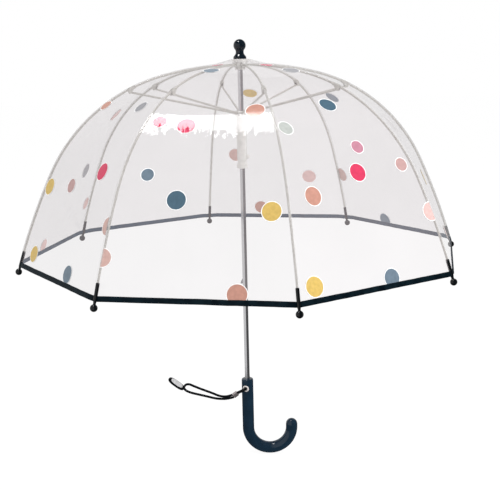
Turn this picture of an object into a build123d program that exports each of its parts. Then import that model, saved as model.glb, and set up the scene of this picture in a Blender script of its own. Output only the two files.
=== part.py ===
from build123d import *
import math
import os

# A child's clear dome umbrella, open, with a hooked handle. Millimetres, +Z up the shaft.
# The origin is on the shaft's axis in the middle of the hand grip, and the hook opens towards +X.
# Eight sectors repeat about the shaft. Each has a rib in two lengths, a stretcher, a rib tip,
# a film gore and a length of hem binding. The gores lie between the ribs.

# ---- driving dimensions ----
SECTORS = 8
STEP_DEG = 360 / SECTORS
HALF_DEG = STEP_DEG / 2
FIRST_RIB_DEG = 191.3

CROWN_PIVOT_Z = 538.0
PIVOT_R = 8.0
# The rib's line leaves the crown pivot level and bends down through three tangent arcs.
RIB_ARCS = [(444.0, 14.4), (262.0, 50.0), (1071.0, 8.3)]
ROD_R = 1.5
CLIP_S = 165.5
CLIP_DROP = 4.0
BALL_S = 494.0

SHAFT_R = 4.0
SHAFT_WALL = 0.8
SHAFT_BOTTOM_Z = -15.0
SHAFT_TOP_Z = 561.0
RUNNING_GAP = 0.15
CLOSING_DEG = 72.0

GRIP_R = 9.3
GRIP_TOP_Z = 40.6
HOOK_CENTRE_Z = -43.0
HOOK_R = 35.2
HOOK_END_RUN = 4.5

FILM_LIFT = 2.7
FILM_T = 0.4
FILM_TOP_S = 7.5
SEAM_GAP = 0.15
HEM_WIDTH = 7.3
HEM_BOTTOM_S = BALL_S - 8.0
HEM_T = 1.4

LINK_T = 1.8
SLOT_W = 2.3
SLOT_INNER_R = 5.4
LINK_END = 6.8

os.makedirs("parts", exist_ok=True)


# ---- the rib's line, in the plane of a rib: r from the shaft's axis, z up ----
def rib_point(s):
    """Distance from the axis, height, and degrees below level, at length s along the rib."""
    r, z, fall = PIVOT_R, CROWN_PIVOT_Z, 0.0
    left = s
    for number, (radius, turn) in enumerate(RIB_ARCS):
        length = radius * math.radians(turn)
        last = number == len(RIB_ARCS) - 1
        part_turn = math.degrees(left / radius) if left < length or last else turn
        a, b = math.radians(fall), math.radians(fall + part_turn)
        r += radius * (math.sin(b) - math.sin(a))
        z -= radius * (math.cos(a) - math.cos(b))
        fall += part_turn
        left -= radius * math.radians(part_turn)
        if left <= 1e-9:
            break
    return r, z, fall


def at(s, lift=0.0):
    """The point at length s, moved outward from the rib's line by lift, in the XZ plane."""
    r, z, fall = rib_point(s)
    a = math.radians(fall)
    return Vector(r + lift * math.sin(a), 0, z + lift * math.cos(a))


def along(s):
    """Unit direction of the rib at length s, in the XZ plane."""
    a = math.radians(rib_point(s)[2])
    return Vector(math.cos(a), 0, -math.sin(a))


def rib_path(start, end):
    """Wire of exact arcs along the rib's line from start to end."""
    ends = [0.0]
    for radius, turn in RIB_ARCS:
        ends.append(ends[-1] + radius * math.radians(turn))
    stations = [start] + [e for e in ends if start + 0.5 < e < end - 0.5] + [end]
    edges = []
    for a, b in zip(stations, stations[1:]):
        edges.append(ThreePointArc(at(a), at((a + b) / 2), at(b)))
    return Wire(edges)


def rod(start, end, radius=ROD_R):
    section = Plane(origin=at(start), z_dir=along(start)) * Circle(radius)
    return sweep(section, path=rib_path(start, end))


def cross_pin(centre, radius, length):
    """A cylinder across the rib's plane, with its middle at centre."""
    return Pos(centre) * Rot(90, 0, 0) * Cylinder(radius, length)


def bar(start, end, height, thickness):
    """A flat bar with round ends between two points of the XZ plane."""
    start, end = Vector(start), Vector(end)
    run = end - start
    tilt = math.degrees(math.atan2(-run.Z, run.X))
    middle = Pos((start + end) / 2) * Rot(0, tilt, 0) * Box(run.length, thickness, height)
    return middle + cross_pin(start, height / 2, thickness) + cross_pin(end, height / 2, thickness)


def in_sector(shape, number):
    return Rot(0, 0, FIRST_RIB_DEG + STEP_DEG * number) * shape


def save(name, *solids):
    shape = solids[0] if len(solids) == 1 else Compound(children=[*solids])
    export_step(shape, f"parts/{name}.step")


# ---- pivots of one sector, in its own plane ----
CLIP_POINT = at(CLIP_S)
STRETCHER_PIVOT = at(CLIP_S, -CLIP_DROP)
CROWN_PIVOT = Vector(PIVOT_R, 0, CROWN_PIVOT_Z)
# The stretcher is as long as the crown pivot is from its own pivot, so the runner moves straight.
STRETCHER_DROP = CROWN_PIVOT_Z - STRETCHER_PIVOT.Z
RUNNER_PIVOT_Z = CROWN_PIVOT_Z - 2 * STRETCHER_DROP
RUNNER_PIVOT = Vector(PIVOT_R, 0, RUNNER_PIVOT_Z)
STRETCHER_LENGTH = (STRETCHER_PIVOT - CROWN_PIVOT).length
OPEN_ANGLE = math.degrees(math.asin(STRETCHER_DROP / STRETCHER_LENGTH))
CLOSED_PIVOT_Z = CROWN_PIVOT_Z - 2 * STRETCHER_LENGTH * math.sin(math.radians(OPEN_ANGLE + CLOSING_DEG))


# ---- ribs ----
EYE_R = 2.2
EYE_HOLE_R = 0.75
CLIP_SLEEVE_R = 2.4
CLIP_SLEEVE_LENGTH = 9.0
KNUCKLE_GAP = 0.3
KNUCKLE_R = 1.6
KNUCKLE_T = 2.6
CHEEK_T = 1.0
CHEEK_R = 2.2
PIN_R = 0.6
PIN_HOLE_R = 0.68
EAR_GAP = 0.2


def rib_upper():
    """Rod with an eye on the crown's wire, and the clip that holds the stretcher and the lower rod."""
    rod_end = CLIP_S - ROD_R - KNUCKLE_GAP
    link = bar(CROWN_PIVOT, at(LINK_END), 2 * ROD_R, LINK_T) + cross_pin(CROWN_PIVOT, EYE_R, LINK_T)
    body = rod(LINK_END, rod_end) + link - cross_pin(CROWN_PIVOT, EYE_HOLE_R, 2 * LINK_T)
    sleeve = rod(rod_end - CLIP_SLEEVE_LENGTH, rod_end, CLIP_SLEEVE_R)
    sleeve -= rod(rod_end - CLIP_SLEEVE_LENGTH - 1, rod_end + 1)
    cheek_middle = ROD_R + EAR_GAP + CHEEK_T / 2
    clip = sleeve
    for side in (-1, 1):
        cheek = bar(CLIP_POINT, STRETCHER_PIVOT, 2 * CHEEK_R, CHEEK_T)
        cheek += bar(at(rod_end - CLIP_SLEEVE_LENGTH / 2), CLIP_POINT, 2 * CHEEK_R, CHEEK_T)
        cheek += bar(at(rod_end - CLIP_SLEEVE_LENGTH / 2), STRETCHER_PIVOT, 2 * CHEEK_R, CHEEK_T)
        clip += Pos(0, side * cheek_middle, 0) * cheek
    for centre in (CLIP_POINT, STRETCHER_PIVOT):
        clip += cross_pin(centre, PIN_R, 2 * cheek_middle)
    return body, clip


def rib_lower():
    """Rod from the clip's pin to inside the rib tip."""
    body = rod(CLIP_S, TIP_BORE_END_S) + cross_pin(CLIP_POINT, KNUCKLE_R, KNUCKLE_T)
    return body - cross_pin(CLIP_POINT, PIN_HOLE_R, 4 * ROD_R)


def stretcher():
    """Straight rod with a flat eye at each end, from the clip to the runner's wire."""
    direction = (STRETCHER_PIVOT - RUNNER_PIVOT).normalized()
    inner = RUNNER_PIVOT + direction * LINK_END
    body = bar(RUNNER_PIVOT, inner, 2 * ROD_R, LINK_T) + cross_pin(RUNNER_PIVOT, EYE_R, LINK_T)
    length = STRETCHER_LENGTH - LINK_END
    body += Plane(origin=inner + direction * (length / 2), z_dir=direction) * Cylinder(ROD_R, length)
    body += cross_pin(STRETCHER_PIVOT, KNUCKLE_R, KNUCKLE_T)
    body -= cross_pin(RUNNER_PIVOT, EYE_HOLE_R, 2 * LINK_T)
    return body - cross_pin(STRETCHER_PIVOT, PIN_HOLE_R, 4 * ROD_R)


# ---- rib tips ----
BALL_R = 5.0
SLEEVE_R = 2.5
SLEEVE_TOP_S = BALL_S - 32.5
SLEEVE_BOTTOM_S = BALL_S - 9.5
NECK_S = BALL_S - 6.5
NECK_R = 1.9
TIP_BORE_END_S = BALL_S - 10.0
TIP_AXIS = (at(BALL_S) - at(SLEEVE_TOP_S)).normalized()
TIP_PLANE = Plane(origin=at(BALL_S), x_dir=(0, 1, 0), z_dir=TIP_AXIS)


def rib_tip():
    """Moulded ball on a tapered neck, with a sleeve over the rod's end and the hem."""
    top, bottom, neck = SLEEVE_TOP_S - BALL_S, SLEEVE_BOTTOM_S - BALL_S, NECK_S - BALL_S
    bore = ROD_R + 0.3
    outline = Polyline(
        (bore, top), (SLEEVE_R - 0.4, top), (SLEEVE_R, top + 0.8), (SLEEVE_R, bottom),
        (NECK_R, neck), (NECK_R, 0), (0, 0), (0, TIP_BORE_END_S - BALL_S),
        (bore, TIP_BORE_END_S - BALL_S), close=True,
    )
    body = revolve(Plane.XZ * make_face(outline), axis=Axis.Z)
    return TIP_PLANE * (body + Sphere(BALL_R))


# ---- canopy: a flat-sectioned gore between each two ribs ----
SHRINK = math.cos(math.radians(HALF_DEG))
GORE_STATIONS = 15
REACH = 160.0


def gore_point(s, lift):
    """The gore's middle line at length s, moved outward by lift, in the XZ plane."""
    r, z, fall = rib_point(s)
    a = math.atan2(math.sin(math.radians(fall)), SHRINK * math.cos(math.radians(fall)))
    return Vector(r * SHRINK + lift * math.sin(a), 0, z + lift * math.cos(a))


def gore_band(start, end, inner, outer, stations):
    """A strip of the gore's surface between two lengths, cut by the two seam planes."""
    steps = [start + (end - start) * i / (stations - 1) for i in range(stations)]
    low = Spline([gore_point(s, inner) for s in steps])
    high = Spline([gore_point(s, outer) for s in steps])
    outline = Wire([low, Line(low @ 1, high @ 1), high, Line(high @ 0, low @ 0)])
    strip = extrude(Face(outline), amount=REACH, dir=(0, 1, 0), both=True)
    tip_x = SEAM_GAP / math.sin(math.radians(HALF_DEG))
    far_x = 2 * REACH + tip_x
    far_y = 2 * REACH * math.tan(math.radians(HALF_DEG))
    corner = make_face(Polyline((tip_x, 0), (far_x, far_y), (far_x, -far_y), close=True))
    wedge = extrude(corner, amount=CROWN_TOP_Z)
    return strip & wedge


def without_tips(shape):
    """Leave room for the two rib tips at the gore's lower corners."""
    reach = SLEEVE_R + 0.4
    room = TIP_PLANE * Pos(0, 0, (SLEEVE_TOP_S - BALL_S) / 2) * Cylinder(reach, 1.2 * (BALL_S - SLEEVE_TOP_S))
    for side in (-1, 1):
        shape -= Rot(0, 0, side * HALF_DEG) * room
    return shape


def gore():
    film_end = HEM_BOTTOM_S - HEM_WIDTH - 0.3
    film = gore_band(FILM_TOP_S, film_end, FILM_LIFT, FILM_LIFT + FILM_T, GORE_STATIONS)
    return without_tips(film)


def hem():
    middle = FILM_LIFT + FILM_T / 2
    band = gore_band(HEM_BOTTOM_S - HEM_WIDTH, HEM_BOTTOM_S, middle - HEM_T / 2, middle + HEM_T / 2, 3)
    return without_tips(band)


# ---- crown, finial and shaft ----
CROWN_TOP_Z = CROWN_PIVOT_Z + 8.6
WIRE_R = 0.6


def turned(points, plane=Plane.XZ):
    """A solid of revolution about Z from an outline of (r, z) points."""
    return revolve(plane * make_face(Polyline(*points, close=True)), axis=Axis.Z)


def radial_slots(low_z, high_z):
    """Eight slots for the flat links, open outward."""
    depth = 20.0
    slots = []
    for number in range(SECTORS):
        slot = Pos(SLOT_INNER_R + depth / 2, 0, (low_z + high_z) / 2) * Box(depth, SLOT_W, high_z - low_z)
        slots.append(in_sector(slot, number))
    return slots


def wire_ring(z, radius=WIRE_R):
    return Pos(0, 0, z) * Torus(PIVOT_R, radius)


def crown():
    z = CROWN_PIVOT_Z
    body = turned([
        (SHAFT_R, z - 7.2), (7.0, z - 7.2), (7.5, z - 6.7), (7.5, z - 3.4), (11.2, z - 3.4), (11.2, z + 3.4),
        (12.5, z + 4.4), (12.5, CROWN_TOP_Z - 1.4), (11.0, CROWN_TOP_Z), (SHAFT_R, CROWN_TOP_Z),
    ])
    for slot in radial_slots(z - 8, z + EYE_R + 0.2):
        body -= slot
    return body - wire_ring(z, WIRE_R + 0.02), wire_ring(z)


FINIAL_BALL_R = 9.35
FINIAL_BALL_Z = 566.6
FINIAL_BASE_R = 9.85


def finial():
    base = CROWN_TOP_Z
    body = turned([
        (0, base), (FINIAL_BASE_R, base), (FINIAL_BASE_R, base + 2.6), (FINIAL_BASE_R - 0.7, base + 4.2),
        (7.9, base + 5.6), (6.8, base + 7.0), (6.2, base + 8.6), (6.0, base + 10.2), (6.15, base + 11.8),
        (6.6, base + 13.4), (0, base + 14.0),
    ])
    body += Pos(0, 0, FINIAL_BALL_Z) * Sphere(FINIAL_BALL_R)
    bore_height = SHAFT_TOP_Z - base
    return body - Pos(0, 0, base + bore_height / 2) * Cylinder(SHAFT_R, bore_height)


CATCH_BELOW_PIVOT = 10.0
CATCH_HEIGHT = 9.0
CATCH_T = 1.6
CATCH_OUT_R = 7.0
TOP_CATCH_Z = RUNNER_PIVOT_Z - CATCH_BELOW_PIVOT
BOTTOM_CATCH_Z = CLOSED_PIVOT_Z - CATCH_BELOW_PIVOT


def shaft():
    length = SHAFT_TOP_Z - SHAFT_BOTTOM_Z
    tube = Cylinder(SHAFT_R, length) - Cylinder(SHAFT_R - SHAFT_WALL, length)
    tube = Pos(0, 0, SHAFT_BOTTOM_Z + length / 2) * tube
    for z in (TOP_CATCH_Z, BOTTOM_CATCH_Z):
        tube -= Pos(-SHAFT_R, 0, z) * Box(2 * SHAFT_R - 2, CATCH_T + 0.4, CATCH_HEIGHT + 1)
    return tube


def catch(z, square_end_up):
    """Pressed-steel wedge that stands out of the shaft's slot and is pushed in with a finger."""
    high = CATCH_HEIGHT / 2
    flat, slope = (high, -high) if square_end_up else (-high, high)
    corners = [(-1.2, flat), (-CATCH_OUT_R, flat), (-CATCH_OUT_R, flat * 0.55), (-3.6, slope), (-1.2, slope)]
    outline = make_face(Polyline(*corners, close=True))
    return Pos(0, 0, z) * extrude(Plane.XZ * outline, amount=CATCH_T / 2, both=True)


# ---- runner ----
RUNNER_BORE_R = SHAFT_R + RUNNING_GAP
RUNNER_LENGTH = 84.2
NUB_DEG = FIRST_RIB_DEG + 3.5 * STEP_DEG


def runner():
    z = RUNNER_PIVOT_Z
    low = z - RUNNER_LENGTH
    body = turned([
        (RUNNER_BORE_R, low), (7.8, low), (8.3, low + 0.8), (8.3, low + 5.5), (7.4, low + 8.0),
        (7.0, low + 9.5), (7.0, low + 11.5), (7.6, low + 13.0), (7.6, z - 7.5), (11.0, z - 4.2),
        (11.0, z + 2.4), (10.2, z + 3.2), (RUNNER_BORE_R, z + 3.2),
    ])
    for slot in radial_slots(z - EYE_R - 0.4, z + 4):
        body -= slot
    window_height = CATCH_HEIGHT + 2.4
    body -= Pos(-10, 0, z - CATCH_BELOW_PIVOT) * Box(20 - 2, CATCH_T + 1.4, window_height)
    nub_height = low + 17.4
    nub = Pos(8.8, 0, nub_height) * Sphere(3.2) - Pos(0, 0, nub_height) * Cylinder(7.0, 12)
    nub = Rot(0, 0, NUB_DEG) * nub
    return body - wire_ring(z, WIRE_R + 0.02) + nub, wire_ring(z)


# ---- handle ----
EYELET_DEG = 250.0
EYELET_Z = 26.0
EYELET_R = 5.3
EYELET_HOLE_R = 2.9
EYELET_STEM_R = 3.5
EYELET_BASE = 8.3


def radial_plane(z, degrees, distance):
    """A plane at a distance from the axis that faces outward."""
    a = math.radians(degrees)
    out = Vector(math.cos(a), math.sin(a), 0)
    return Plane(origin=Vector(0, 0, z) + out * distance, x_dir=(-out.Y, out.X, 0), z_dir=out)


def handle():
    bend = HOOK_CENTRE_Z
    centre_line = Wire([
        Line((0, 0, GRIP_TOP_Z), (0, 0, bend)),
        ThreePointArc((0, 0, bend), (HOOK_R, 0, bend - HOOK_R), (2 * HOOK_R, 0, bend)),
        Line((2 * HOOK_R, 0, bend), (2 * HOOK_R, 0, bend + HOOK_END_RUN)),
    ])
    body = sweep(Pos(0, 0, GRIP_TOP_Z) * Circle(GRIP_R), path=centre_line)
    body += Pos(2 * HOOK_R, 0, bend + HOOK_END_RUN) * Sphere(GRIP_R)
    body = fillet(body.edges().group_by(Axis.Z)[-1], 1.8)
    socket = GRIP_TOP_Z - SHAFT_BOTTOM_Z
    body -= Pos(0, 0, SHAFT_BOTTOM_Z + socket / 2) * Cylinder(SHAFT_R, socket)
    seat = radial_plane(EYELET_Z, EYELET_DEG, EYELET_BASE)
    body -= seat * Pos(0, 0, 2) * Cylinder(EYELET_R, 4)
    return body - seat * Pos(0, 0, -1.5) * Cylinder(EYELET_STEM_R, 3.2)


def eyelet():
    seat = radial_plane(EYELET_Z, EYELET_DEG, EYELET_BASE)
    flange = Pos(0, 0, 0.6) * Cylinder(EYELET_R, 1.2)
    flange = fillet(flange.edges().group_by(Axis.Z)[-1], 0.9)
    stem = Pos(0, 0, -1.5) * Cylinder(EYELET_STEM_R, 3.0)
    return seat * (flange + stem - Cylinder(EYELET_HOLE_R, 8))


# ---- closing strap ----
STRAP_R = 1.9
TAB_R = 2.4
CRIMP_START = Vector(-16.5, -12.3, 20.6)
CRIMP_END = Vector(-22.8, -12.5, 16.0)
# The loop leaves the crimp along its lower strand, turns at the pad and comes back above.
LOOP_POINTS = [
    (-22.2, -12.5, 14.0), (-30.0, -12.6, 11.7), (-40.0, -12.8, 11.1), (-52.0, -13.1, 12.4),
    (-66.0, -13.2, 16.5), (-79.0, -13.0, 19.8), (-91.5, -12.7, 23.0), (-100.6, -12.5, 27.4),
    (-102.4, -12.5, 33.8), (-95.4, -12.6, 38.6), (-84.0, -12.8, 33.0), (-70.0, -13.0, 27.0),
    (-57.0, -13.0, 21.8), (-47.0, -13.0, 16.9), (-38.0, -12.9, 15.0), (-30.0, -12.6, 15.8),
    (-23.8, -12.5, 18.1),
]


def tangent_route(points, share=0.45):
    """Runs between the points joined by arcs as large as the two runs allow."""
    points = [Vector(p) for p in points]
    radii = []
    for a, b, c in zip(points, points[1:], points[2:]):
        half_turn = math.radians((b - a).get_angle(c - b)) / 2
        radii.append(share * min((b - a).length, (c - b).length) / math.tan(half_turn))
    return FilletPolyline(*points, radius=radii), radii


def tube(path, radius):
    return sweep(Plane(origin=path @ 0, z_dir=path % 0) * Circle(radius), path=path)


def strap_tab():
    start = radial_plane(EYELET_Z, EYELET_DEG, 7.4).origin
    out = radial_plane(EYELET_Z, EYELET_DEG, 12.6).origin
    path, _ = tangent_route([start, out, CRIMP_START])
    return tube(path, TAB_R)


def strap_crimp():
    run = CRIMP_END - CRIMP_START
    frame = Plane(origin=(CRIMP_START + CRIMP_END) / 2, x_dir=(0, 1, 0), z_dir=run.normalized())
    block = Box(5.4, 8.4, run.length)
    return frame * fillet(block.edges().filter_by(Axis.Z), 2.2)


def strap_loop():
    path, radii = tangent_route(LOOP_POINTS)
    print("loop length", round(path.length, 1), "radii", [round(r, 1) for r in radii])
    return tube(path, STRAP_R)


PAD_CENTRE = Vector(-113.8, -12.5, 38.4)
PAD_LENGTH = 30.0
PAD_WIDTH = 12.0
PAD_T = 3.4
PAD_RISE_DEG = 38.0
PAD_TILT_DEG = 35.0


def strap_pad():
    plate = extrude(SlotOverall(PAD_LENGTH, PAD_WIDTH), amount=PAD_T / 2, both=True)
    plate = fillet(plate.edges(), 0.8)
    return Pos(PAD_CENTRE) * Rot(0, PAD_RISE_DEG, 0) * Rot(PAD_TILT_DEG, 0, 0) * plate


# ---- write every node ----
one_upper, one_lower, one_stretcher = rib_upper(), rib_lower(), stretcher()
one_tip, one_gore, one_hem = rib_tip(), gore(), hem()
for number in range(SECTORS):
    name = number + 1
    save(f"rib_{name}_upper", *[in_sector(solid, number) for solid in one_upper])
    save(f"rib_{name}_lower", in_sector(one_lower, number))
    save(f"stretcher_{name}", in_sector(one_stretcher, number))
    save(f"rib_tip_{name}", in_sector(one_tip, number))
    save(f"gore_{name}", in_sector(one_gore, number + 0.5))
    save(f"hem_{name}", in_sector(one_hem, number + 0.5))

save("crown", *crown())
save("finial", finial())
save("shaft", shaft())
save("runner", *runner())
save("top_catch", catch(TOP_CATCH_Z, square_end_up=True))
save("bottom_catch", catch(BOTTOM_CATCH_Z, square_end_up=False))
save("handle", handle())
save("eyelet", eyelet())
save("strap_tab", strap_tab())
save("strap_crimp", strap_crimp())
save("strap_loop", strap_loop())
save("strap_pad", strap_pad())

print("stretcher pivot", STRETCHER_PIVOT, "runner pivot z", RUNNER_PIVOT_Z, "closed", CLOSED_PIVOT_Z)
print("clip point", CLIP_POINT, "ball", at(BALL_S), "open angle", OPEN_ANGLE)
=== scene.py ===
"""A child's clear bubble umbrella, open: film, dots, seams, hem tape, strap, finishes, light and camera.

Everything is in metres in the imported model's frame: +Z up the shaft, origin on the shaft axis in the hand
grip, hook to +X. Lengths in the first section are millimetres, as in the part's source.
"""
import math

import bmesh
import bpy
from mathutils import Matrix, Vector, noise


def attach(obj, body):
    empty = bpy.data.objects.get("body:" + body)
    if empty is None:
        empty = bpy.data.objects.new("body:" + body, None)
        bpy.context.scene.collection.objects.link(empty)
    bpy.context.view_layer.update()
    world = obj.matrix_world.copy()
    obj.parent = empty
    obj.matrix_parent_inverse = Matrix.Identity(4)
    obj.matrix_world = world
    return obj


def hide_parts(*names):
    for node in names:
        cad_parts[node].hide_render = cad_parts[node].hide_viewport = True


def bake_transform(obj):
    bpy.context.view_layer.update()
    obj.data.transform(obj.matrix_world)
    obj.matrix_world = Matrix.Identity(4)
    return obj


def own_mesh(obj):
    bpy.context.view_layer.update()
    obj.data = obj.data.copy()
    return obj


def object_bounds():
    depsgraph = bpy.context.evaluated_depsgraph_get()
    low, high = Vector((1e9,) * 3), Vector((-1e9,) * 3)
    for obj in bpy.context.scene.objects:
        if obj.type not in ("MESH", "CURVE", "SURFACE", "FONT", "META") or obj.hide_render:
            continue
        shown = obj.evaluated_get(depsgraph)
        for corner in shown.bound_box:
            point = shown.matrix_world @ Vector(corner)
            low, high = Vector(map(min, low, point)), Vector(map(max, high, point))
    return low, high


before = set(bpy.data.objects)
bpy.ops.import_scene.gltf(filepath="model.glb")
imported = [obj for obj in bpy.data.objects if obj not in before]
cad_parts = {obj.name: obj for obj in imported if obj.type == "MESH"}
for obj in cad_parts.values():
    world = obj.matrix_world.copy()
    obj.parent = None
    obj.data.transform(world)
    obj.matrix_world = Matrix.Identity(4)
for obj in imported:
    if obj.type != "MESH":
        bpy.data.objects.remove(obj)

CAD_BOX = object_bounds()
MM = 0.001

# ---------------------------------------------------------------- canopy geometry, millimetres and degrees
SECTORS = 8
FIRST_RIB_DEG = 191.3
CROWN_PIVOT = (8.0, 538.0)      # distance from the axis, height
RIB_ARCS = ((444.0, 14.4), (262.0, 50.0), (1071.0, 8.3))  # radius, turn; the rib starts out level
HALF_SECTOR = math.radians(180.0 / SECTORS)
SHRINK = math.cos(HALF_SECTOR)  # mid-gore distance over rib distance

# Names that end in _S are distances along a rib from its crown pivot.
FILM_TOP_S = 7.5
CLIP_S = 165.5
SLEEVE_TOP_S = 461.5      # the rib tips reach from here past the hem
HEM_TOP_S = 478.7
HEM_BOTTOM_S = 486.0
FILM_LIFT = 2.6           # film outside the rib line
CROWN_RISE = 6.2          # the film climbs this much more to lie on top of the crown
CROWN_RIM_S = 4.5
CROWN_RISE_END_S = 34.5
CROWN_TOP_Z = 546.75
FINIAL_BASE_R = 9.7
CROWN_RIM_R = 12.5
SLEEVE_R = 2.5

SEAM_HALF_WIDTH = 2.8
SEAM_RIDGE = 0.15         # the weld seam's middle stands this far above its edges
HEM_THICKNESS = 1.4
PRINT_LIFT = 0.25         # the dots lie this far off each face of the film


def rib_point(s):
    """(distance from the axis, height, fall in radians) of the rib line, s along it from the crown pivot."""
    r, z = CROWN_PIVOT
    fall = 0.0
    for radius, turn_deg in RIB_ARCS:
        turn = math.radians(turn_deg)
        step = turn if s > radius * turn else s / radius
        r += radius * (math.sin(fall + step) - math.sin(fall))
        z -= radius * (math.cos(fall) - math.cos(fall + step))
        fall += step
        s -= radius * step
        if step < turn:
            return r, z, fall
    return r + s * math.cos(fall), z - s * math.sin(fall), fall


def gore_axes(k):
    """Outward and sideways unit vectors at the middle of gore k, sideways towards the next rib."""
    azimuth = math.radians(FIRST_RIB_DEG + (k - 0.5) * 360.0 / SECTORS)
    out = Vector((math.cos(azimuth), math.sin(azimuth), 0.0))
    return out, Vector((-out.y, out.x, 0.0))


def gore_middle(s, lift):
    """(distance from the axis, height) of a gore's middle line at s, moved outward by lift."""
    r, z, fall = rib_point(s)
    slope = math.atan2(math.sin(fall), SHRINK * math.cos(fall))
    return r * SHRINK + lift * math.sin(slope), z + lift * math.cos(slope)


def gore_edge(s, lift=FILM_LIFT):
    """Half the width of a gore at s: where it meets its neighbour."""
    distance, _ = gore_middle(s, lift)
    return distance * math.tan(HALF_SECTOR)


def gore_point(k, s, t, lift=FILM_LIFT):
    """A point of gore k in metres: s down from the crown, t sideways from its middle, lift off the ribs."""
    distance, height = gore_middle(s, lift)
    out, side = gore_axes(k)
    flat = out * distance + side * t
    return Vector((flat.x, flat.y, height)) * MM


def smooth_step(x, low, high):
    """Rises from 0 at low to 1 at high."""
    x = min(1.0, max(0.0, (x - low) / (high - low)))
    return x * x * (3.0 - 2.0 * x)


MID_DIP = 1.6     # how far the stretched film dips between the ribs
RIPPLE = 0.45     # long ripples below the bend of the dome
PUCKER = 0.5      # short ones beside the weld seams and the crown
CREASE = 0.8      # narrow upright creases just below the bend
TIP_TUCK = 2.2    # how far the film tucks in beside a rib tip


def beside_tip(s, from_seam):
    """How far the film and its tape tuck in between two rib tips, so that the sleeves stand proud of them."""
    below_sleeve_top = smooth_step(s, SLEEVE_TOP_S - 2.0, SLEEVE_TOP_S + 5.0)
    return TIP_TUCK * below_sleeve_top * (1.0 - smooth_step(from_seam, 3.0, 16.0))


def crown_rise(s):
    """How far the film climbs above its usual lift, to lie on top of the crown."""
    share = min(1.0, max(0.0, (CROWN_RISE_END_S - s) / (CROWN_RISE_END_S - CROWN_RIM_S)))
    return CROWN_RISE * share ** 1.3


def ripple(k, s, t, width, length, seed):
    """A smooth uneven value with features of that width across gore k and that length down it."""
    return noise.noise(Vector((t / width, s / length, seed * k)))


def film_dip(k, s, t):
    """How far the film lies inside its stretched surface, from its tension and its ripples."""
    edge = gore_edge(s)
    across = min(1.0, abs(t) / edge)
    from_seam = edge - abs(t)
    dip = MID_DIP * (1.0 - across ** 2) * smooth_step(s, 30.0, 200.0) * (1.0 - smooth_step(s, 440.0, 470.0))
    long_ripple = ripple(k, s, t, width=13.0, length=55.0, seed=3.7)
    dip += RIPPLE * long_ripple * smooth_step(s, 232.0, 275.0) * (1.0 - across ** 4)
    crease = ripple(k, s, t, width=3.2, length=16.0, seed=7.9)
    below_bend = smooth_step(s, 230.0, 250.0) * (1.0 - smooth_step(s, 268.0, 300.0))
    dip += CREASE * crease * below_bend * (1.0 - across ** 6)
    pucker = ripple(k, s, t, width=7.0, length=26.0, seed=5.1)
    beside_seam = math.exp(-from_seam / 14.0) * smooth_step(from_seam, 3.5, 9.0)
    near_crown = 1.0 - smooth_step(s, 40.0, 130.0)
    return dip + PUCKER * pucker * max(beside_seam, near_crown * (1.0 - across ** 4))


def film_point(k, s, t, lift=0.0):
    """A point of the film, or lift outside it, in metres."""
    tuck = beside_tip(s, gore_edge(s) - abs(t))
    return gore_point(k, s, t, FILM_LIFT + crown_rise(s) + lift - film_dip(k, s, t) - tuck)


def rib_body(rib, stage):
    return f"rib_{rib}_{stage}"


def gore_body(k, stage):
    return f"gore_{k}_{stage}"


# ---------------------------------------------------------------- mesh helpers
def add_mesh(name, points, faces, smooth=True):
    mesh = bpy.data.meshes.new(name)
    mesh.from_pydata([tuple(p) for p in points], [], faces)
    mesh.validate()
    for face in mesh.polygons:
        face.use_smooth = smooth
    obj = bpy.data.objects.new(name, mesh)
    bpy.context.scene.collection.objects.link(obj)
    return obj


def grid_faces(rows, columns, wrap=False):
    """Quads between rows of points; wrap joins each row's last point to its first."""
    faces = []
    for i in range(rows - 1):
        for j in range(columns if wrap else columns - 1):
            a = i * columns + j
            b = i * columns + (j + 1) % columns
            faces.append((a, b, b + columns, a + columns))
    return faces


def capped_tube(rows, columns):
    """Quads round a closed section swept over the rows, and a cap on each end."""
    faces = grid_faces(rows, columns, wrap=True)
    faces.append(tuple(range(columns))[::-1])
    faces.append(tuple(range((rows - 1) * columns, rows * columns)))
    return faces


def spaced(low, high, count):
    """That many values at equal steps from low to high."""
    return [low + (high - low) * i / (count - 1) for i in range(count)]


def face_outwards(obj):
    """Turns a sheet's faces so that they look away from the shaft."""
    mesh = obj.data
    mid = sum((v.co for v in mesh.vertices), Vector()) / len(mesh.vertices)
    outwards = Vector((mid.x, mid.y, 0.0)) + Vector((0.0, 0.0, 0.1))
    if sum(face.normal.dot(outwards) * face.area for face in mesh.polygons) < 0.0:
        mesh.flip_normals()


def outward_mesh(obj):
    """Makes a closed mesh's normals all point out of it."""
    work = bmesh.new()
    work.from_mesh(obj.data)
    bmesh.ops.recalc_face_normals(work, faces=work.faces)
    work.to_mesh(obj.data)
    work.free()


def fold_with_canopy(obj, k, stage):
    """The piece gets its own mesh and rides on its part of gore k."""
    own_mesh(obj)
    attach(obj, gore_body(k, stage))


# ---------------------------------------------------------------- node helpers
def new_material(name):
    material = bpy.data.materials.new(name)
    material.use_nodes = True
    tree = material.node_tree
    return material, tree, tree.nodes["Principled BSDF"]


def object_noise(tree, scale, detail=3.0, stretch=(1.0, 1.0, 1.0)):
    """A noise value in the frame's own metres; scale is in features for each metre."""
    where = tree.nodes.new("ShaderNodeTexCoord")
    mapping = tree.nodes.new("ShaderNodeMapping")
    mapping.inputs["Scale"].default_value = stretch
    pattern = tree.nodes.new("ShaderNodeTexNoise")
    pattern.inputs["Scale"].default_value = scale
    pattern.inputs["Detail"].default_value = detail
    tree.links.new(where.outputs["Object"], mapping.inputs["Vector"])
    tree.links.new(mapping.outputs["Vector"], pattern.inputs["Vector"])
    return pattern.outputs["Fac"]


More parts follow.
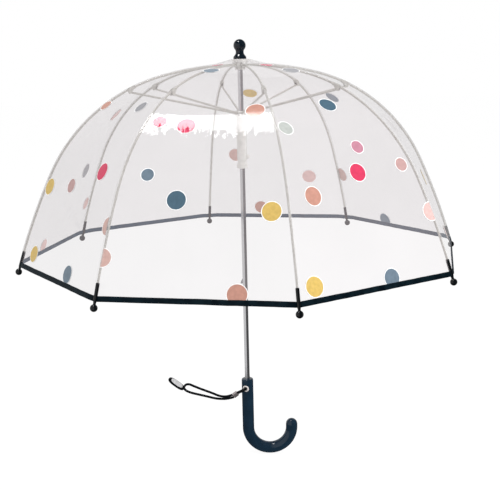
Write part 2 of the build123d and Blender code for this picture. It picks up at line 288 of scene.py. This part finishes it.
def remap(tree, value, low, high, from_low=0.3, from_high=0.7):
    node = tree.nodes.new("ShaderNodeMapRange")
    node.inputs["From Min"].default_value = from_low
    node.inputs["From Max"].default_value = from_high
    node.inputs["To Min"].default_value = low
    node.inputs["To Max"].default_value = high
    tree.links.new(value, node.inputs["Value"])
    return node.outputs["Result"]


def two_tone(tree, value, dark, light, low=0.35, high=0.65):
    """A colour that runs from dark to light as value goes from low to high."""
    ramp = tree.nodes.new("ShaderNodeValToRGB")
    ramp.color_ramp.elements[0].position = low
    ramp.color_ramp.elements[0].color = (*dark, 1.0)
    ramp.color_ramp.elements[1].position = high
    ramp.color_ramp.elements[1].color = (*light, 1.0)
    tree.links.new(value, ramp.inputs["Fac"])
    return ramp.outputs["Color"]


def diagonal_weave(tree, scale, distortion=0.0):
    """A woven height value: diagonal bands in the frame's own metres."""
    weave = tree.nodes.new("ShaderNodeTexWave")
    weave.bands_direction = "DIAGONAL"
    weave.inputs["Scale"].default_value = scale
    weave.inputs["Distortion"].default_value = distortion
    where = tree.nodes.new("ShaderNodeTexCoord")
    tree.links.new(where.outputs["Object"], weave.inputs["Vector"])
    return weave.outputs["Fac"]


def paint_two_tone(tree, shader, value, dark, light):
    tree.links.new(two_tone(tree, value, dark, light), shader.inputs["Base Color"])


def add_bump(tree, shader, height, distance, strength=1.0):
    bump = tree.nodes.new("ShaderNodeBump")
    bump.inputs["Strength"].default_value = strength
    bump.inputs["Distance"].default_value = distance
    tree.links.new(height, bump.inputs["Height"])
    tree.links.new(bump.outputs["Normal"], shader.inputs["Normal"])


def shade(colour, factor):
    return tuple(min(1.0, c * factor) for c in colour)


def moulded_plastic(name, colour, roughness, coat=0.0, specular=0.5, grain=900.0):
    """Moulded plastic: a faint cloudiness, a fine surface grain and a little unevenness in the shine."""
    material, tree, shader = new_material(name)
    clouds = object_noise(tree, 60.0)
    paint_two_tone(tree, shader, clouds, shade(colour, 0.86), shade(colour, 1.12))
    wear = object_noise(tree, 180.0, detail=5.0)
    tree.links.new(remap(tree, wear, roughness * 0.8, roughness * 1.3), shader.inputs["Roughness"])
    shader.inputs["Specular IOR Level"].default_value = specular
    shader.inputs["Coat Weight"].default_value = coat
    shader.inputs["Coat Roughness"].default_value = 0.08
    add_bump(tree, shader, object_noise(tree, grain), 0.00004)
    return material


def see_through(material, tree, shader, clear):
    """Lets a share of the view straight through the shader: a number, or a value from nodes."""
    holes = tree.nodes.new("ShaderNodeBsdfTransparent")
    mix = tree.nodes.new("ShaderNodeMixShader")
    if isinstance(clear, float):
        mix.inputs["Fac"].default_value = clear
    else:
        tree.links.new(clear, mix.inputs["Fac"])
    tree.links.new(shader.outputs["BSDF"], mix.inputs[1])
    tree.links.new(holes.outputs["BSDF"], mix.inputs[2])
    tree.links.new(mix.outputs["Shader"], tree.nodes["Material Output"].inputs["Surface"])
    return material


# ---------------------------------------------------------------- materials
FILM_HAZE = (0.50, 0.455, 0.47)  # the film's own faint pinkish grey
FILM_CLEAR_FACING = 0.76         # share seen straight through, looking square at the film
FILM_CLEAR_EDGE_ON = 0.64


def clear_film():
    """Glossy vinyl: mostly clear, with a faint haze that thickens a little where it turns away."""
    material, tree, shader = new_material("clear_film")
    clouds = object_noise(tree, 14.0)
    paint_two_tone(tree, shader, clouds, shade(FILM_HAZE, 0.95), shade(FILM_HAZE, 1.05))
    shader.inputs["Roughness"].default_value = 0.05
    shader.inputs["IOR"].default_value = 1.52
    add_bump(tree, shader, object_noise(tree, 45.0, detail=1.0), 0.0001, 0.15)
    facing = tree.nodes.new("ShaderNodeLayerWeight")
    facing.inputs["Blend"].default_value = 0.25
    clear = remap(tree, facing.outputs["Facing"], FILM_CLEAR_FACING, FILM_CLEAR_EDGE_ON, 0.0, 1.0)
    return see_through(material, tree, shader, clear)


def weld_seam():
    """The pressed weld over a rib: nearly clear, with a fine knurl."""
    material, tree, shader = new_material("weld_seam")
    knurl = object_noise(tree, 420.0, detail=2.0)
    paint_two_tone(tree, shader, knurl, (0.62, 0.61, 0.60), (0.80, 0.79, 0.78))
    shader.inputs["Roughness"].default_value = 0.22
    add_bump(tree, shader, knurl, 0.0003, 0.5)
    return see_through(material, tree, shader, 0.8)


PRINT_COLOURS = {
    "yellow": (0.61, 0.425, 0.12),
    "coral": (0.49, 0.252, 0.197),
    "crimson": (0.59, 0.047, 0.11),
    "navy": (0.065, 0.12, 0.166),
    "slate": (0.14, 0.19, 0.24),
    "grey": (0.27, 0.27, 0.29),
    "pink": (0.46, 0.207, 0.27),
    "rose": (0.47, 0.295, 0.285),
    "mint": (0.41, 0.43, 0.41),
    "blush": (0.70, 0.465, 0.44),
    "salmon": (0.58, 0.38, 0.34),
    "white": (0.92, 0.92, 0.92),
}


def printed_ink(colour_name):
    """Satin screen ink, a little uneven where it was laid down."""
    material, tree, shader = new_material("ink_" + colour_name)
    colour = PRINT_COLOURS[colour_name]
    mottle = object_noise(tree, 240.0, detail=6.0)
    paint_two_tone(tree, shader, mottle, shade(colour, 0.92), shade(colour, 1.08))
    shader.inputs["Roughness"].default_value = 0.12
    shader.inputs["Specular IOR Level"].default_value = 0.25
    add_bump(tree, shader, mottle, 0.00003, 0.4)
    return material


def hem_tape(name, dark, light):
    """Woven binding tape: a fine diagonal weave with a very faint teal sheen."""
    material, tree, shader = new_material(name)
    streaks = object_noise(tree, 90.0, detail=4.0)
    paint_two_tone(tree, shader, streaks, dark, light)
    shader.inputs["Roughness"].default_value = 0.42
    shader.inputs["Specular IOR Level"].default_value = 0.05
    shader.inputs["Sheen Weight"].default_value = 0.01
    shader.inputs["Sheen Roughness"].default_value = 0.4
    shader.inputs["Sheen Tint"].default_value = (0.25, 0.62, 0.72, 1.0)
    add_bump(tree, shader, diagonal_weave(tree, 260.0, distortion=1.5), 0.0001, 0.6)
    return material


def glass_fibre():
    """Off-white rod with fine grain along its length."""
    material, tree, shader = new_material("glass_fibre")
    fibres = object_noise(tree, 350.0, detail=4.0)
    paint_two_tone(tree, shader, fibres, (0.40, 0.385, 0.35), (0.56, 0.55, 0.51))
    shader.inputs["Roughness"].default_value = 0.34
    shader.inputs["Coat Weight"].default_value = 0.3
    add_bump(tree, shader, fibres, 0.00005, 0.5)
    return material


def polished_metal(name, colour, roughness, grain_scale):
    """Bright plated metal, with a fine drawn grain in its polish."""
    material, tree, shader = new_material(name)
    shader.inputs["Metallic"].default_value = 1.0
    drawn = object_noise(tree, grain_scale, detail=4.0, stretch=(1.0, 1.0, 0.04))
    paint_two_tone(tree, shader, drawn, shade(colour, 0.93), shade(colour, 1.04))
    tree.links.new(remap(tree, drawn, roughness * 0.7, roughness * 1.5), shader.inputs["Roughness"])
    add_bump(tree, shader, drawn, 0.00001, 0.4)
    return material


def frosted_plastic():
    """Natural nylon: milky, with a little light coming through."""
    material, tree, shader = new_material("frosted_plastic")
    clouds = object_noise(tree, 130.0, detail=4.0)
    paint_two_tone(tree, shader, clouds, (0.80, 0.79, 0.76), (0.90, 0.89, 0.86))
    shader.inputs["Roughness"].default_value = 0.2
    shader.inputs["Subsurface Weight"].default_value = 0.3
    shader.inputs["Subsurface Radius"].default_value = (0.002, 0.002, 0.002)
    shader.inputs["Subsurface Scale"].default_value = 1.0
    add_bump(tree, shader, clouds, 0.0001, 0.5)
    return see_through(material, tree, shader, 0.22)


def webbing():
    """Black braided cord: a tight diagonal braid."""
    material, tree, shader = new_material("strap_braid")
    fuzz = object_noise(tree, 800.0, detail=2.0)
    paint_two_tone(tree, shader, fuzz, (0.002, 0.003, 0.004), (0.006, 0.007, 0.009))
    shader.inputs["Roughness"].default_value = 0.7
    shader.inputs["Specular IOR Level"].default_value = 0.12
    add_bump(tree, shader, diagonal_weave(tree, 420.0), 0.0003, 0.8)
    return material


def pad_top_painted_highlight():
    """Pale grey for the top face of the strap's fastening pad: a painted highlight, with a fine looped bump.
    """
    material, tree, shader = new_material("pad_top_painted_highlight")
    loops = object_noise(tree, 1600.0, detail=2.0)
    paint_two_tone(tree, shader, loops, (0.36, 0.36, 0.37), (0.66, 0.66, 0.66))
    shader.inputs["Roughness"].default_value = 0.85
    add_bump(tree, shader, loops, 0.0005, 0.8)
    return material


MATERIALS = {
    "film": clear_film(),
    "seam": weld_seam(),
    "tape": hem_tape("hem_tape", (0.001, 0.004, 0.007), (0.003, 0.010, 0.015)),
    # The tape's inner face is a lighter, bluer copy of the tape: painted sheen that stands in for light
    # caught on the inside of the back hem.
    "tape_inside_painted_sheen": hem_tape("hem_tape_inside_painted_sheen", (0.008, 0.030, 0.060), (0.015, 0.050, 0.090)),
    "rib": glass_fibre(),
    "frosted": frosted_plastic(),
    "tip": moulded_plastic("tip_plastic", (0.002, 0.003, 0.004), 0.12, coat=0.25, specular=0.3),
    "finial": moulded_plastic("finial_plastic", (0.003, 0.008, 0.014), 0.10, coat=0.4, specular=0.3),
    "handle": moulded_plastic("handle_plastic", (0.006, 0.020, 0.038), 0.14, coat=0.35, specular=0.3),
    "tab": moulded_plastic("tab_plastic", (0.002, 0.003, 0.004), 0.4, specular=0.2),
    # The metal eyelet gets a pale diffuse colour: a painted reflection that stands in for its bright shine.
    "eyelet": moulded_plastic("eyelet_painted_shine", (0.70, 0.66, 0.64), 0.2, coat=0.3),
    "catch": polished_metal("catch_steel", (0.62, 0.62, 0.64), 0.22, 500.0),
    "chrome": polished_metal("chrome", (0.80, 0.80, 0.82), 0.10, 700.0),
    "crimp": polished_metal("crimp_metal", (0.62, 0.56, 0.56), 0.3, 900.0),
    "braid": webbing(),
    "pad_highlight": pad_top_painted_highlight(),
}


FINISHES = {
    "shaft": "chrome", "crown": "frosted", "runner": "frosted", "finial": "finial", "handle": "handle",
    "eyelet": "eyelet", "strap_tab": "tab", "strap_crimp": "crimp", "top_catch": "catch",
    "bottom_catch": "catch",
}


def paint(node, material):
    """Gives a CAD node its material."""
    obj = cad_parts[node]
    for holder in obj.material_slots:
        holder.material = material
    if not obj.material_slots:
        obj.data.materials.append(material)


def paint_cad():
    for n in range(1, SECTORS + 1):
        for node in (f"rib_{n}_upper", f"rib_{n}_lower", f"stretcher_{n}"):
            paint(node, MATERIALS["rib"])
        paint(f"rib_tip_{n}", MATERIALS["tip"])
    for node, finish in FINISHES.items():
        paint(node, MATERIALS[finish])


# ---------------------------------------------------------------- film
FILM_COLUMNS = 91
FILM_ROWS = {"upper": 56, "lower": 106}
SEAM_ROWS = {"upper": 60, "lower": 90}
COLLAR_COLUMNS = 7


def film_panel(k, stage, s_low, s_high):
    """One part of a welded gore of film, from s_low to s_high."""
    rows = FILM_ROWS[stage]
    points = []
    for s in spaced(s_low, s_high, rows):
        edge = gore_edge(s)
        points += [film_point(k, s, edge * x) for x in spaced(-1.0, 1.0, FILM_COLUMNS)]
    panel = add_mesh(f"film_{stage}_{k}", points, grid_faces(rows, FILM_COLUMNS))
    face_outwards(panel)
    panel.data.materials.append(MATERIALS["film"])
    width = 2.0 * max(gore_edge(s_low), gore_edge(s_high)) * MM
    fold_with_canopy(panel, k, stage)
    return panel


def film_collar(k):
    """The film's top edge: it rises over the crown's rim and goes under the finial."""
    out, side = gore_axes(k)
    across = spaced(-1.0, 1.0, COLLAR_COLUMNS)
    rows = []
    for r in spaced(FINIAL_BASE_R, CROWN_RIM_R, 3):
        distance = r * SHRINK
        centre = out * distance + Vector((0.0, 0.0, CROWN_TOP_Z))
        rows.append([(centre + side * (x * distance * math.tan(HALF_SECTOR))) * MM for x in across])
    for s, tuck in ((6.0, 0.0), (FILM_TOP_S, 0.0), (FILM_TOP_S + 1.0, 0.15)):
        rows.append([film_point(k, s, x * gore_edge(s), -tuck) for x in across])
    points = [point for row in rows for point in row]
    collar = add_mesh(f"film_collar_{k}", points, grid_faces(len(rows), COLLAR_COLUMNS))
    face_outwards(collar)
    collar.data.materials.append(MATERIALS["film"])
    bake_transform(collar)


def weld_strip(rib, stage, s_low, s_high):
    """The welded channel that holds a rib: a narrow band over the crease between two gores."""
    before = (rib - 2) % SECTORS + 1
    rows = SEAM_ROWS[stage]
    points = []
    for s in spaced(s_low, s_high, rows):
        lift = FILM_LIFT + PRINT_LIFT + crown_rise(s)
        edge = gore_edge(s, lift)
        reach = min(SEAM_HALF_WIDTH, 0.45 * edge)
        points += [gore_point(before, s, edge - d, lift) for d in (reach, 0.5 * reach)]
        points.append(gore_point(rib, s, -edge, lift + SEAM_RIDGE))
        points += [gore_point(rib, s, d - edge, lift) for d in (0.5 * reach, reach)]
    strip = add_mesh(f"seam_{stage}_{rib}", points, grid_faces(rows, 5))
    face_outwards(strip)
    strip.data.materials.append(MATERIALS["seam"])
    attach(strip, rib_body(rib, stage))


# ---------------------------------------------------------------- printed dots
LARGE = 12.5
SMALL = 9.5
RIM = 1.0       # white underprint that shows round a dot
TURNS = 48      # corners round a dot
RINGS = 6
TRIM = 1.0      # a dot stops this far short of a weld seam's middle, and runs this far under the hem tape

# (gore, distance down from the crown, distance sideways from the gore's middle, radius, colour)
DOTS = [
    (1, 42, 10, SMALL, "crimson"), (1, 210, -68, SMALL, "coral"), (1, 207, 37, 10.5, "grey"),
    (1, 319, 51, LARGE, "crimson"), (1, 348, -28, 10.5, "rose"), (1, 357, -96, LARGE, "yellow"),
    (1, 388, 118, 12, "salmon"), (1, 459, -85, 12, "yellow"), (1, 467, 40, 12.5, "slate"),
    (2, 88, -24, 11, "slate"), (2, 235, -67, SMALL, "crimson"), (2, 242, -30, LARGE, "crimson"),
    (2, 215, 59, LARGE, "coral"), (2, 318, -72, 8.5, "slate"), (2, 352, -31, LARGE, "navy"),
    (2, 366, 93, LARGE, "yellow"), (2, 429, -124, 12, "salmon"), (2, 472, 54, 13, "coral"),
    (3, 54, 8, 10, "crimson"), (3, 98, 23, LARGE, "grey"), (3, 210, 15, LARGE, "navy"),
    (3, 249, -77, 10.5, "mint"), (3, 288, 24, SMALL, "pink"), (3, 325, 9, LARGE, "crimson"),
    (3, 321, 87, SMALL, "rose"), (3, 350, -74, LARGE, "coral"), (3, 392, 116, 13, "blush"),
    (3, 464, -104, 13, "yellow"), (3, 472, 22, LARGE, "slate"),
    (4, 357, -4, LARGE, "yellow"), (4, 452, 25, 11, "salmon"),
    (5, 215, 22, LARGE, "slate"), (5, 394, 112, LARGE, "salmon"), (5, 474, 24, LARGE, "slate"),
    (6, 202, 22, LARGE, "yellow"), (6, 353, 68, LARGE, "salmon"), (6, 398, -65, LARGE, "blush"),
    (6, 464, 29, LARGE, "coral"),
    (8, 243, -45, LARGE, "blush"), (8, 355, -51, LARGE, "grey"), (8, 471, 45, 11, "blush"),
    (8, 425, -110, 11, "blush"),
]


def trimmed_disc(k, s0, t0, radius, inner=0.0):
    """A flat disc or ring in (t, s), cut where it crosses a weld seam or the hem tape."""
    flat = bmesh.new()
    rings = spaced(inner, radius, 2 if inner else RINGS)
    loops = []
    for ring in rings:
        if ring == 0.0:
            loops.append([flat.verts.new((t0, s0, 0.0))])
            continue
        loop = []
        for i in range(TURNS):
            angle = 2.0 * math.pi * i / TURNS
            loop.append(flat.verts.new((t0 + ring * math.cos(angle), s0 + ring * math.sin(angle), 0.0)))
        loops.append(loop)
    for low, high in zip(loops, loops[1:]):
        for i in range(TURNS):
            j = (i + 1) % TURNS
            ends = [low[0]] if len(low) == 1 else [low[j], low[i]]
            flat.faces.new([high[i], high[j]] + ends)
    widening = gore_edge(s0 + 1.0) - gore_edge(s0)
    for sign in (-1.0, 1.0):
        geometry = flat.verts[:] + flat.edges[:] + flat.faces[:]
        bmesh.ops.bisect_plane(flat, geom=geometry, plane_co=(sign * (gore_edge(s0) - TRIM), s0, 0.0),
                               plane_no=(sign, -widening, 0.0), clear_outer=True)
    geometry = flat.verts[:] + flat.edges[:] + flat.faces[:]
    bmesh.ops.bisect_plane(flat, geom=geometry, plane_co=(0.0, HEM_TOP_S + TRIM, 0.0),
                           plane_no=(0.0, 1.0, 0.0), clear_outer=True)
    flat.verts.index_update()
    points = [(v.co.x, v.co.y) for v in flat.verts]
    faces = [[v.index for v in face.verts] for face in flat.faces]
    flat.free()
    return points, faces


def print_dots(k, stage, inks):
    """The dots of one part of gore k, seen on both faces of the film, a material slot for each ink."""
    chosen = [dot for dot in DOTS if dot[0] == k and (dot[1] < CLIP_S) == (stage == "upper")]
    if not chosen:
        return
    points, faces, face_ink, slots = [], [], [], []
    for _, s0, t0, radius, colour in chosen:
        for ink, outer, inner in ((colour, radius, 0.0), ("white", radius + RIM, radius)):
            flat, loops = trimmed_disc(k, s0, t0, outer, inner)
            if ink not in slots:
                slots.append(ink)
            for lift in (PRINT_LIFT, -PRINT_LIFT):
                base = len(points)
                points += [film_point(k, s, t, lift) for t, s in flat]
                faces += [[base + i for i in loop] for loop in loops]
                face_ink += [slots.index(ink)] * len(loops)
    print_layer = add_mesh(f"dots_{stage}_{k}", points, faces)
    for ink in slots:
        print_layer.data.materials.append(inks[ink])
    for face, index in zip(print_layer.data.polygons, face_ink):
        face.material_index = index
    face_outwards(print_layer)
    fold_with_canopy(print_layer, k, stage)


# ---------------------------------------------------------------- hem tape
HEM_COLUMNS = 60
HEM_WAVER = 0.35          # the tape's edge strays up and down by this much
SLEEVE_OVERLAP = 0.4      # the tape's ends reach this far into a rib tip's sleeve


def hem_section():
    """The tape's outline in (distance down the rib, depth): two flat faces and a rounded fold."""
    half = HEM_THICKNESS / 2.0
    fold_s = HEM_BOTTOM_S - half
    section = [(HEM_TOP_S, -half), (HEM_TOP_S + 2.4, -half), (HEM_TOP_S + 4.8, -half)]
    for angle in spaced(-90.0, 90.0, 7):
        section.append((fold_s + half * math.cos(math.radians(angle)), half * math.sin(math.radians(angle))))
    section += [(HEM_TOP_S + 4.8, half), (HEM_TOP_S + 2.4, half), (HEM_TOP_S, half), (HEM_TOP_S - 0.25, 0.0)]
    return section


def hem_binding(k):
    """Folded tape over the film's bottom edge, swept from rib tip to rib tip."""
    section = hem_section()
    points = []
    for x in spaced(-1.0, 1.0, HEM_COLUMNS):
        for s, depth in section:
            lift = FILM_LIFT + depth
            t = x * (gore_edge(s, lift) - SLEEVE_R + SLEEVE_OVERLAP)
            lift -= beside_tip(s, gore_edge(s) - abs(t))
            waver = HEM_WAVER * noise.noise(Vector((t / 16.0, 4.3 * k, 0.0))) * (1.0 - x ** 4)
            points.append(gore_point(k, s + waver, t, lift))
    tape = add_mesh(f"hem_tape_{k}", points, capped_tube(HEM_COLUMNS, len(section)))
    tape.data.materials.append(MATERIALS["tape"])
    tape.data.materials.append(MATERIALS["tape_inside_painted_sheen"])
    outward_mesh(tape)
    out, _ = gore_axes(k)
    # Faces that look in towards the shaft take the lighter blue copy, which is painted sheen on the tape's
    # inner face.
    for face in tape.data.polygons:
        face.material_index = 1 if face.normal.dot(out) < -0.3 else 0
    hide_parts(f"hem_{k}")
    fold_with_canopy(tape, k, "lower")


# ---------------------------------------------------------------- closing strap
LOOP_POINTS = [
    (-22.2, -12.5, 14.0), (-30.0, -12.6, 11.7), (-40.0, -12.8, 11.1), (-52.0, -13.1, 12.4),
    (-66.0, -13.2, 16.5), (-79.0, -13.0, 19.8), (-91.5, -12.7, 23.0), (-100.6, -12.5, 27.4),
    (-102.4, -12.5, 33.8), (-95.4, -12.6, 38.6), (-84.0, -12.8, 33.0), (-70.0, -13.0, 27.0),
    (-57.0, -13.0, 21.8), (-47.0, -13.0, 16.9), (-38.0, -12.9, 15.0), (-30.0, -12.6, 15.8),
    (-23.8, -12.5, 18.1),
]
STRAP_DIAMETER = 3.8
PAD_CENTRE = (-113.8, -12.5, 38.4)
PAD_SIZE = (30.0, 12.0, 3.4)
PAD_RISE_DEG = 38.0
PAD_TILT_DEG = 35.0
PAD_TURNS = 56
# Rings from the middle of the pad's upper face to its edge: share of its half size, height in thicknesses.
PAD_RINGS = ((0.05, 0.46), (0.4, 0.48), (0.72, 0.5), (0.75, 0.42), (0.92, 0.38), (1.0, 0.16))
# The pale patch is a painted highlight on the pad's upper face, where the light falls.
PATCH_RINGS = 3           # the patch covers the first rings
PATCH_SHIFT = 3.0         # and is set this far towards the pad's upper edge


def strap_pad():
    """The fastening pad: a rounded black tab with a pale patch of painted highlight on top, set towards its
    upper edge.
    """
    length, width, thick = PAD_SIZE
    points = []
    for sign in (1.0, -1.0):
        for share, height in PAD_RINGS if sign > 0.0 else PAD_RINGS[::-1]:
            for i in range(PAD_TURNS):
                angle = 2.0 * math.pi * i / PAD_TURNS
                cx, sx = math.cos(angle), math.sin(angle)
                x = 0.5 * length * share * math.copysign(abs(cx) ** 0.7, cx)
                y = 0.5 * width * share * math.copysign(abs(sx) ** 0.8, sx) + PATCH_SHIFT * (1.0 - share)
                points.append((x, y, sign * height * thick))
    place = Matrix.Translation(Vector(PAD_CENTRE)) @ Matrix.Rotation(math.radians(PAD_RISE_DEG), 4, "Y")
    place = Matrix.Scale(MM, 4) @ place @ Matrix.Rotation(math.radians(PAD_TILT_DEG), 4, "X")
    points = [place @ Vector(point) for point in points]
    pad = add_mesh("strap_pad_tab", points, capped_tube(2 * len(PAD_RINGS), PAD_TURNS))
    outward_mesh(pad)
    pad.data.materials.append(MATERIALS["braid"])
    pad.data.materials.append(MATERIALS["pad_highlight"])
    up = (place.to_3x3() @ Vector((0.0, 0.0, 1.0))).normalized()
    for face in pad.data.polygons:
        # Upward faces within the patch rings get the pale painted highlight; the rest stays black.
        on_patch = all(vertex < PATCH_RINGS * PAD_TURNS for vertex in face.vertices)
        face.material_index = 1 if on_patch and face.normal.dot(up) > 0.6 else 0
    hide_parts("strap_pad")
    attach(pad, "root")


def strap_loop():
    """The elastic loop: it leaves the crimp, goes round under the pad and comes back."""
    curve = bpy.data.curves.new("strap_cord", "CURVE")
    curve.dimensions = "3D"
    curve.resolution_u = 10
    curve.bevel_depth = 0.5 * STRAP_DIAMETER * MM
    curve.bevel_resolution = 5
    curve.use_fill_caps = True
    spline = curve.splines.new("NURBS")
    spline.points.add(len(LOOP_POINTS) - 1)
    for point, place in zip(spline.points, LOOP_POINTS):
        point.co = (*(Vector(place) * MM), 1.0)
    spline.order_u = 3
    spline.use_endpoint_u = True
    cord = bpy.data.objects.new("strap_cord", curve)
    bpy.context.scene.collection.objects.link(cord)
    curve.materials.append(MATERIALS["braid"])
    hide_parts("strap_loop")
    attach(cord, "root")


# ---------------------------------------------------------------- camera, light and floor
CAMERA_TARGET = (0.00903, 0.0, 0.25999)
CAMERA_DISTANCE = 1.4846
CAMERA_RISE_DEG = 11.416
CAMERA_ROLL_DEG = 1.277
CAMERA_LENS = 68.15
CAMERA_SENSOR = 36.0
FLOOR_REACH = 12.0
FLOOR_GAP = 0.0005
FLOOR_GLOW = 0.93
STAGE_GREY = (0.10, 0.10, 0.10)
CARD_DISTANCE = 0.85
CARD_TURN_DEG = -230.0
CARD_HEIGHTS = (-0.25, 1.1)
CARD_CORNERS = 17
CARD_GLOW = 0.55
ROOM_LIGHT = 0.70
ROOM_SEEN = 1.0
ROOM_IN_REFLECTIONS = 0.08  # the room round the white floor is dim, which the glossy parts mirror


def add_camera():
    """The camera stands in front, a little above the canopy's hem, and looks slightly down."""
    rise = math.radians(CAMERA_RISE_DEG)
    roll = math.radians(CAMERA_ROLL_DEG)
    back = Vector((0.0, -math.cos(rise), math.sin(rise)))
    right = Vector((1.0, 0.0, 0.0))
    up = back.cross(right)
    rolled_right = right * math.cos(roll) - up * math.sin(roll)
    rolled_up = right * math.sin(roll) + up * math.cos(roll)
    camera = bpy.data.objects.new("camera", bpy.data.cameras.new("camera"))
    camera.data.lens = CAMERA_LENS
    camera.data.sensor_width = CAMERA_SENSOR
    turn = Matrix((rolled_right, rolled_up, back)).transposed().to_4x4()
    camera.matrix_world = Matrix.Translation(Vector(CAMERA_TARGET) + back * CAMERA_DISTANCE) @ turn
    bpy.context.scene.collection.objects.link(camera)
    bpy.context.scene.camera = camera


def area_light(name, place, aim, size, radiance, in_reflections=True):
    """A rectangular soft light of that radiance, at place, turned towards aim."""
    data = bpy.data.lights.new(name, "AREA")
    data.shape = "RECTANGLE"
    data.size, data.size_y = size
    data.energy = radiance * math.pi * size[0] * size[1]
    light = bpy.data.objects.new(name, data)
    light.location = place
    light.rotation_euler = (Vector(aim) - Vector(place)).to_track_quat("-Z", "Y").to_euler()
    light.visible_glossy = in_reflections
    bpy.context.scene.collection.objects.link(light)


def plain_stage_material(name, glow):
    """Dull grey with an even white glow, for the floor and the card."""
    material, _, shader = new_material(name)
    shader.inputs["Base Color"].default_value = (*STAGE_GREY, 1.0)
    shader.inputs["Roughness"].default_value = 0.9
    shader.inputs["Specular IOR Level"].default_value = 0.1
    shader.inputs["Emission Color"].default_value = (1.0, 1.0, 1.0, 1.0)
    shader.inputs["Emission Strength"].default_value = glow
    return material


def add_floor():
    """A wide pale floor that the handle's hook just reaches."""
    level = CAD_BOX[0][2] - FLOOR_GAP
    signs = ((-1, -1), (1, -1), (1, 1), (-1, 1))
    corners = [(x * FLOOR_REACH, y * FLOOR_REACH, level) for x, y in signs]
    floor = add_mesh("floor", corners, [(0, 1, 2, 3)], smooth=False)
    floor.data.materials.append(plain_stage_material("pale_floor", FLOOR_GLOW))
    floor.visible_glossy = False


def add_bright_card():
    """A pale curved card round the left and the back that shows only in the polished parts."""
    points = []
    for turn_deg in spaced(0.0, CARD_TURN_DEG, CARD_CORNERS):
        turn = math.radians(turn_deg)
        for height in CARD_HEIGHTS:
            points.append((CARD_DISTANCE * math.sin(turn), -CARD_DISTANCE * math.cos(turn), height))
    card = add_mesh("bright_card", points, grid_faces(CARD_CORNERS, len(CARD_HEIGHTS)), smooth=False)
    card.data.materials.append(plain_stage_material("bright_card", CARD_GLOW))
    card.visible_camera = False
    card.visible_diffuse = False
    card.visible_transmission = False
    card.visible_shadow = False


def add_room():
    """An even white room: soft light on every piece, full white behind them, dim in reflections."""
    world = bpy.data.worlds.new("studio")
    world.use_nodes = True
    tree = world.node_tree
    sky = tree.nodes["Background"]
    path = tree.nodes.new("ShaderNodeLightPath")
    seen = tree.nodes.new("ShaderNodeMix")
    seen.inputs["A"].default_value = ROOM_LIGHT
    seen.inputs["B"].default_value = ROOM_SEEN
    tree.links.new(path.outputs["Is Camera Ray"], seen.inputs["Factor"])
    mirrored = tree.nodes.new("ShaderNodeMix")
    mirrored.inputs["B"].default_value = ROOM_IN_REFLECTIONS
    tree.links.new(path.outputs["Is Glossy Ray"], mirrored.inputs["Factor"])
    tree.links.new(seen.outputs["Result"], mirrored.inputs["A"])
    tree.links.new(mirrored.outputs["Result"], sky.inputs["Strength"])
    sky.inputs["Color"].default_value = (1.0, 1.0, 1.0, 1.0)
    bpy.context.scene.world = world


def add_lights():
    """A softbox overhead, which makes the glare on the front film, and a wide key light from the right."""
    area_light("overhead_softbox", place=(-0.43, -0.215, 2.0), aim=(-0.43, -0.215, 0.0),
               size=(0.38, 0.43), radiance=26.0)
    area_light("key_right", place=(1.6, -1.2, 1.3), aim=(0.0, 0.0, 0.3),
               size=(1.2, 1.2), radiance=7.0, in_reflections=False)


# ---------------------------------------------------------------- the umbrella
def build_canopy():
    """Every gore's film, collar, weld seams, dots and hem tape."""
    inks = {name: printed_ink(name) for name in PRINT_COLOURS}
    for k in range(1, SECTORS + 1):
        upper = film_panel(k, "upper", FILM_TOP_S, CLIP_S)
        film_panel(k, "lower", CLIP_S, HEM_BOTTOM_S - 1.0)
        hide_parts(f"gore_{k}")
        film_collar(k)
        weld_strip(k, "upper", FILM_TOP_S + 1.0, CLIP_S)
        weld_strip(k, "lower", CLIP_S, SLEEVE_TOP_S)
        print_dots(k, "upper", inks)
        print_dots(k, "lower", inks)
        hem_binding(k)


add_camera()
strap_pad()
strap_loop()
paint_cad()
build_canopy()
add_room()
add_lights()
add_floor()
add_bright_card()
bpy.context.scene.view_settings.view_transform = "Standard"
